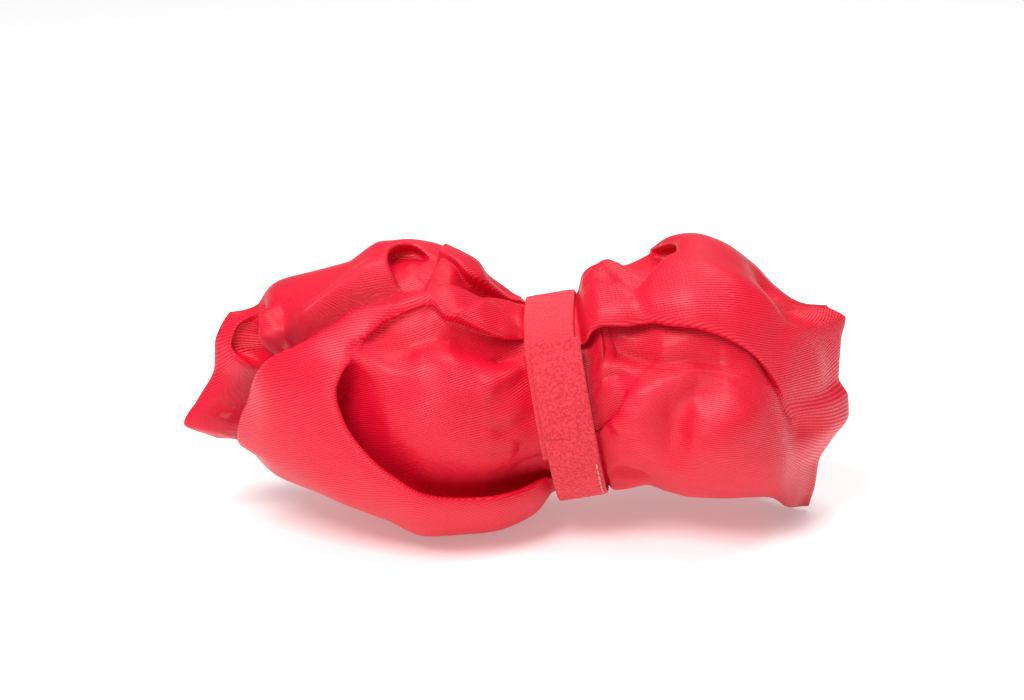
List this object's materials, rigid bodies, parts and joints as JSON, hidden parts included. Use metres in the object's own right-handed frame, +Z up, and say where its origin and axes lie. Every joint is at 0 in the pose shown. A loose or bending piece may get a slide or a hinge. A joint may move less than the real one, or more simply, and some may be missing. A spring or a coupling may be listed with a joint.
{
  "type": "rolled cloth bundle with hook-and-loop strap",
  "caption": "Limp bundle of glossy twill cloth, folded and rolled on itself and held round its waist by a hook-and-loop strap.",
  "frame": {"origin": "on the surface the bundle rests on, under the middle of its outer box", "axes": "+X along the bundle towards its blunt hooded end, -Y out of the front where the strap's overlap ends, +Z up"},
  "size_m": [0.268, 0.106, 0.115],
  "materials": {
    "twill_cloth": "glossy fine twill weave, bright pinkish red on its highlights and saturated red in its folds",
    "loop_tape": "brushed loop pile, dull, lumpy, no gloss",
    "hook_tape": "stiff woven tape with rows of small nylon hooks, slight gloss",
    "thread": "pale twisted sewing thread"
  },
  "bodies": {
    "bundle": {"left_inner_roll": "twill_cloth", "left_front_lay": "twill_cloth", "left_pouch_fold": "twill_cloth", "left_back_lay": "twill_cloth", "left_end_flap": "twill_cloth", "left_top_roll": "twill_cloth", "left_top_pleat": "twill_cloth", "right_inner_roll": "twill_cloth", "right_inner_lay": "twill_cloth", "right_lower_lay": "twill_cloth", "right_hood": "twill_cloth", "right_back_lay": "twill_cloth", "right_top_pleat": "twill_cloth", "right_end_rim": "twill_cloth", "waist_gather": "twill_cloth", "strap_band": "loop_tape", "edge_stitches": "thread", "anchor_stitches": "thread"},
    "tab": {"strap_tab": "loop_tape", "hook_patch": "hook_tape"},
    "tab_tip": {"strap_tab_tip": "loop_tape", "hook_patch_tip": "hook_tape"}
  },
  "joints": [
    {"name": "tab_peel", "type": "hinge", "parent": "bundle", "child": "tab", "pos_m": [0.02313, -0.04372, 0.03911], "axis": [0.9848, 0, 0.1736], "range_deg": [0, 120]},
    {"name": "tip_peel", "type": "hinge", "parent": "tab", "child": "tab_tip", "pos_m": [0.01879, -0.04514, 0.0637], "axis": [0.9848, 0, 0.1736], "range_deg": [0, 60]}
  ]
}
